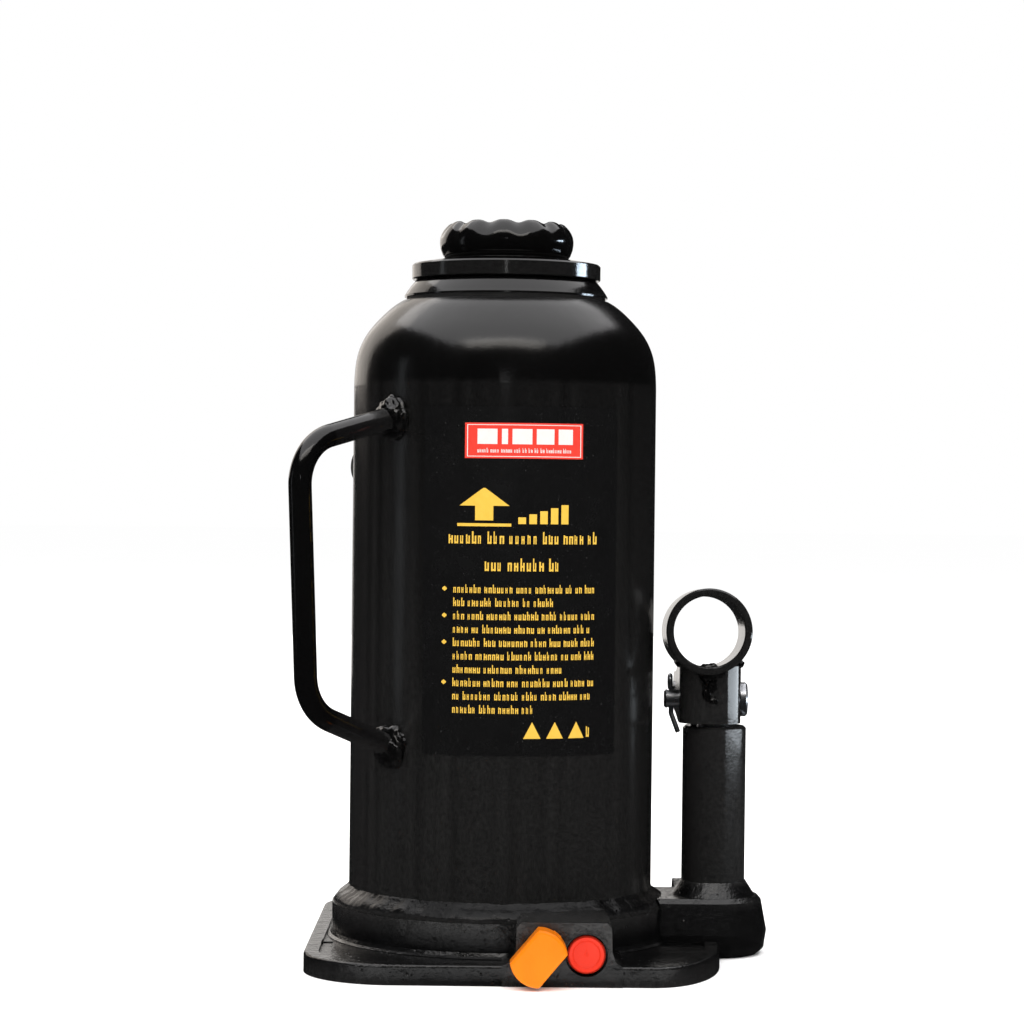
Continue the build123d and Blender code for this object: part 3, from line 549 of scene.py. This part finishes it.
def lump_of_weld(centre, out, across, up, sizes, seed, strength):
    """Points and faces of one irregular blob of weld round a centre."""
    rows = 28
    columns = 44
    points = []
    for r in range(rows):
        lean = pi * (r + 0.5) / rows
        for c in range(columns):
            turn = 2 * pi * c / columns
            way = out * cos(lean) + (across * cos(turn) + up * sin(turn)) * sin(lean)
            broad = noise.noise(way * 1.7 + Vector((seed, seed, seed)))
            fine = noise.noise(way * 4.1 + Vector((0, seed, 0)))
            swell = 1 + strength * (broad + 0.5 * fine)
            spot = centre + out * cos(lean) * sizes[0] * swell
            spot += (across * cos(turn) * sizes[1] + up * sin(turn) * sizes[2]) * sin(lean) * swell
            points.append(tuple(spot))
    faces = grid_faces(rows, columns)
    faces.append(tuple(range(columns)))
    faces.append(tuple(reversed(range((rows - 1) * columns, rows * columns))))
    return points, faces


def heaped(name, heaps, out, across, up, seeds, body):
    """One piece of several lumps, each given by its centre, half sizes and roughness."""
    points = []
    faces = []
    for (centre, sizes, strength), seed in zip(heaps, seeds):
        more, quads = lump_of_weld(centre, out, across, up, sizes, seed, strength)
        faces += [tuple(len(points) + i for i in quad) for quad in quads]
        points += more
    return piece(name, points, faces, body, FINISHES["gloss_enamel"])


def handle_welds():
    """Heaped welds where the carry handle meets the tank."""
    turn = radians(HANDLE_AZIMUTH)
    out = Vector((-sin(turn), -cos(turn), 0))
    across = Vector((cos(turn), -sin(turn), 0))
    up = Vector((0, 0, 1))
    heaps = []
    for height, sign in ((HANDLE_TOP_Z, 1), (HANDLE_BOTTOM_Z, -1)):
        spot = out * TANK_R + up * height
        heaps.append((spot + out * 0.3, (3.6, 6.0, 6.4), 0.26))
        heaps.append((spot + out * 1.6 + across * 1.2 + up * 1.4 * sign, (3.2, 4.2, 4.4), 0.24))
        heaps.append((spot + out * 0.2 - across * 2.0 - up * 1.6 * sign, (2.6, 4.4, 4.4), 0.3))
        heaps.append((spot + out * 0.1 + across * 3.2 - up * 1.0 * sign, (2.1, 3.4, 3.8), 0.3))
    seeds = [n * 3.7 for n in range(len(heaps))]
    made = heaped("handle_weld_heaps", heaps, out, across, up, seeds, "base")
    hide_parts("handle_weld_beads")


def socket_welds():
    """The welds between the socket tube and the yoke: a heap in front and a run on each cheek."""
    out = Vector((0, -1, 0))
    across = Vector((1, 0, 0))
    up = Vector((0, 0, 1))
    front = Vector((YOKE_X - 0.9, YOKE_FRONT - 1.2, 89.6))
    web = front - out * 1.2
    heaps = [
        (front - up * 0.4, (2.5, 3.2, 3.0)),
        (web - up * 4.2 + across * 0.5, (1.7, 2.3, 2.6)),
        (web - up * 7.0 - across * 0.6, (1.1, 1.3, 2.6)),
        (front - across * 2.6, (1.9, 2.0, 1.7)),
        (front + across * 2.9 - up * 0.4, (1.9, 2.2, 1.7)),
        (web - up * 9.2 + across * 1.6, (0.9, 1.6, 1.2)),
    ]
    for n in range(7):
        for side in (-1, 1):
            heaps.append((Vector((YOKE_X + side * YOKE_HALF, -3.0 + 1.7 * n, 91.6)), (1.1, 1.1, 1.2)))
    heaps = [(centre, sizes, 0.22) for centre, sizes in heaps]
    seeds = [n * 5.3 + 1 for n in range(len(heaps))]
    made = heaped("socket_weld_heaps", heaps, out, across, up, seeds, "lever")
    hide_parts("socket_weld")


def smooth_saddle():
    """The load pad with softly rounded lobes and flutes."""
    columns = 400
    top = SADDLE_TOP
    bottom = SADDLE_BOTTOM
    under = ((6.1, bottom), (18.6, bottom), (19.4, bottom + 0.35))
    side = ((20.2, bottom + 1.5), (20.9, bottom + 3.4), (21.15, bottom + 5.0), (21.15, bottom + 6.2),
            (20.95, bottom + 7.4), (20.5, bottom + 8.5), (19.9, bottom + 9.5))
    rim = ((19.1, top - 1.25), (18.3, top - 0.5), (17.5, top - 0.08), (16.9, top), (16.2, top - 0.3))
    dish = ((15.3, top - 1.1), (14.2, top - 2.3), (12.6, top - 3.0), (10.0, top - 3.4), (5.0, top - 3.7),
            (0.05, top - 3.8))
    spigot_hole = ((0.05, SPIGOT_TOP), (6.1, SPIGOT_TOP))
    profile = under + side + rim + dish + spigot_hole
    points = []
    for radius, height in profile:
        for c in range(columns):
            turn = 2 * pi * c / columns
            phase = SADDLE_LOBES * (turn - radians(SADDLE_TURN))
            flute = (0.5 - 0.5 * cos(phase)) ** 1.6
            near_top = max(0.0, min(1.0, (height - (top - 5.2)) / 5.2))
            near_rim = 1.0 if radius > 13.0 else max(0.0, (radius - 9) / 4)
            lift = near_top * near_rim
            drop = 0.95 * flute * lift
            draw = 0.35 * flute * (1.0 if radius > 18 and height > bottom + 7 else 0.0)
            points.append(((radius - draw) * cos(turn), (radius - draw) * sin(turn), height - drop))
    faces = grid_faces(len(profile), columns, wrap_rows=True)
    made = piece("saddle_pad", points, faces, "saddle", FINISHES["gloss_enamel"])
    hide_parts("saddle")


def thread():
    """The extension screw with its helical thread and its plain spigot."""
    around = 48
    per_pitch = 16
    start = SCREW_BOTTOM + 1.0
    end = SCREW_TOP - 0.4
    turns = (end - start) / THREAD_PITCH
    rows = int(turns * per_pitch)
    points = [(0.0, 0.0, SCREW_BOTTOM)] * around
    for r in range(rows + 1):
        height = start + (end - start) * r / rows
        edge = min(height - start, end - height)
        for c in range(around):
            turn = 2 * pi * c / around
            spot = ((height - start) / THREAD_PITCH - c / around) % 1.0
            depth = min(1.0, max(0.0, 2.6 * abs(spot - 0.5) - 0.18))
            if edge < 1.2:
                depth = max(depth, 1 - edge / 1.2)
            radius = SCREW_R - 0.05 - THREAD_DEPTH * depth
            points.append((radius * cos(turn), radius * sin(turn), height))
    neck = ((6.0, SCREW_TOP), (6.0, 220.4), (5.1, 220.4), (5.1, 221.6), (6.0, 221.6), (6.0, 223.4))
    tip = ((5.2, 224.2), (0.0, 224.2))
    for radius, height in neck + tip:
        for c in range(around):
            turn = 2 * pi * c / around
            points.append((radius * cos(turn), radius * sin(turn), height))
    faces = grid_faces(len(points) // around, around)
    made = piece("extension_thread", points, faces, "screw", FINISHES["screw_steel"])
    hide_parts("extension_screw")


# ---- the studio ----

def studio():
    """A pale floor under an even white sky that reflections hardly see."""
    bpy.ops.mesh.primitive_plane_add(size=12, location=(0, 3.0, 0))
    floor = bpy.context.object
    floor.name = "studio_floor"
    floor.data.materials.append(pale_floor())
    floor.visible_glossy = False
    world = bpy.data.worlds.new("studio")
    bpy.context.scene.world = world
    world.use_nodes = True
    tree = world.node_tree
    ground = tree.nodes["Background"]
    ground.inputs["Color"].default_value = (1, 1, 1, 1)
    path = tree.nodes.new("ShaderNodeLightPath")
    level = tree.nodes.new("ShaderNodeMapRange")
    level.inputs["To Min"].default_value = 1.0
    level.inputs["To Max"].default_value = 0.012
    tree.links.new(path.outputs["Is Glossy Ray"], level.inputs["Value"])
    tree.links.new(level.outputs["Result"], ground.inputs["Strength"])


def lights():
    """A ceiling, a small lamp, strips at both sides and a glow behind, each a soft rectangle."""
    soft_light("ceiling", (0, 0.05, 1.15), (0, 0.05, 0), 1.9, 2.0, 1.8, (1.0, 0.99, 1.0))
    soft_light("ceiling_edge", (-0.02, -0.80, 0.94), (0, 0, 0.19), 1.1, 0.26, 2.8, (1.0, 0.96, 0.9))
    soft_light("lamp", (0.01, -0.95, 0.285), (0, 0, 0.2), 0.03, 0.04, 5.0, (1, 1, 1))
    soft_light("left_strip", (-0.95, -0.12, 0.22), (0, 0, 0.13), 0.09, 0.44, 0.55, (0.9, 0.95, 1.0))
    soft_light("left_behind", (-0.55, 0.8, 0.62), (0, 0, 0.13), 0.7, 0.9, 1.3, (1.0, 0.92, 0.84))
    sky = (0.72, 0.86, 1.0)
    window = soft_light("right_window", (0.9, 0.22, 0.283), (0, 0, 0.27), 0.3, 0.045, 24.0, sky)
    light_only(window, ("tank_cap", "saddle_pad"))
    pale_sky = (0.85, 0.93, 1.0)
    low = soft_light("right_low", (0.55, -0.12, 0.052), (0.07, -0.01, 0.06), 0.8, 0.05, 9.0, pale_sky)
    light_only(low, ("yoke", "socket_tube", "pump_cylinder", "plunger_pin", "split_pin"))
    soft_light("backdrop", (-0.22, 1.9, 0.4), (0, 0, 0.15), 0.8, 0.9, 0.9, (1.0, 0.96, 0.92))
    glow = soft_light("table_glow", (0.01, -0.128, 0.001), (0.01, -0.128, 1), 0.3, 0.1, 1.1, (1, 1, 1))
    light_only(glow, ("base_casting", "release_cap", "relief_cover_plug"))


def light_only(lamp, names):
    """Keeps a lamp to the named pieces."""
    lit = bpy.data.collections.new(lamp.name + "_side")
    for name in names:
        lit.objects.link(bpy.data.objects[name])
    lamp.light_linking.receiver_collection = lit


def soft_light(name, place, aim, width, height, glow, colour):
    """A rectangular soft light, with its brightness per area."""
    lamp = bpy.data.lights.new(name, "AREA")
    lamp.shape = "RECTANGLE"
    lamp.size = width
    lamp.size_y = height
    lamp.energy = glow * pi * width * height
    lamp.color = colour
    holder = bpy.data.objects.new(name, lamp)
    holder.location = place
    holder.rotation_euler = (Vector(aim) - Vector(place)).to_track_quat("-Z", "Y").to_euler()
    holder.visible_camera = False
    bpy.context.collection.objects.link(holder)
    return holder


def camera():
    """A long lens at a little over half the jack's height, straight in front."""
    lens = bpy.data.cameras.new("camera")
    lens.lens = 104.5
    lens.sensor_width = 36
    lens.clip_start = 0.01
    holder = bpy.data.objects.new("camera", lens)
    bpy.context.collection.objects.link(holder)
    turn = Matrix.Rotation(radians(89.5), 4, "X") @ Matrix.Rotation(radians(0.62), 4, "Z")
    holder.matrix_world = Matrix.Translation((0.0026, -0.942, 0.147)) @ turn
    bpy.context.scene.camera = holder


dress(frame["nodes"])
label_yellow()
label_red()
label_white()
tank_weld()
handle_welds()
socket_welds()
smooth_saddle()
thread()
studio()
lights()
camera()
bpy.context.scene.view_settings.view_transform = "Standard"
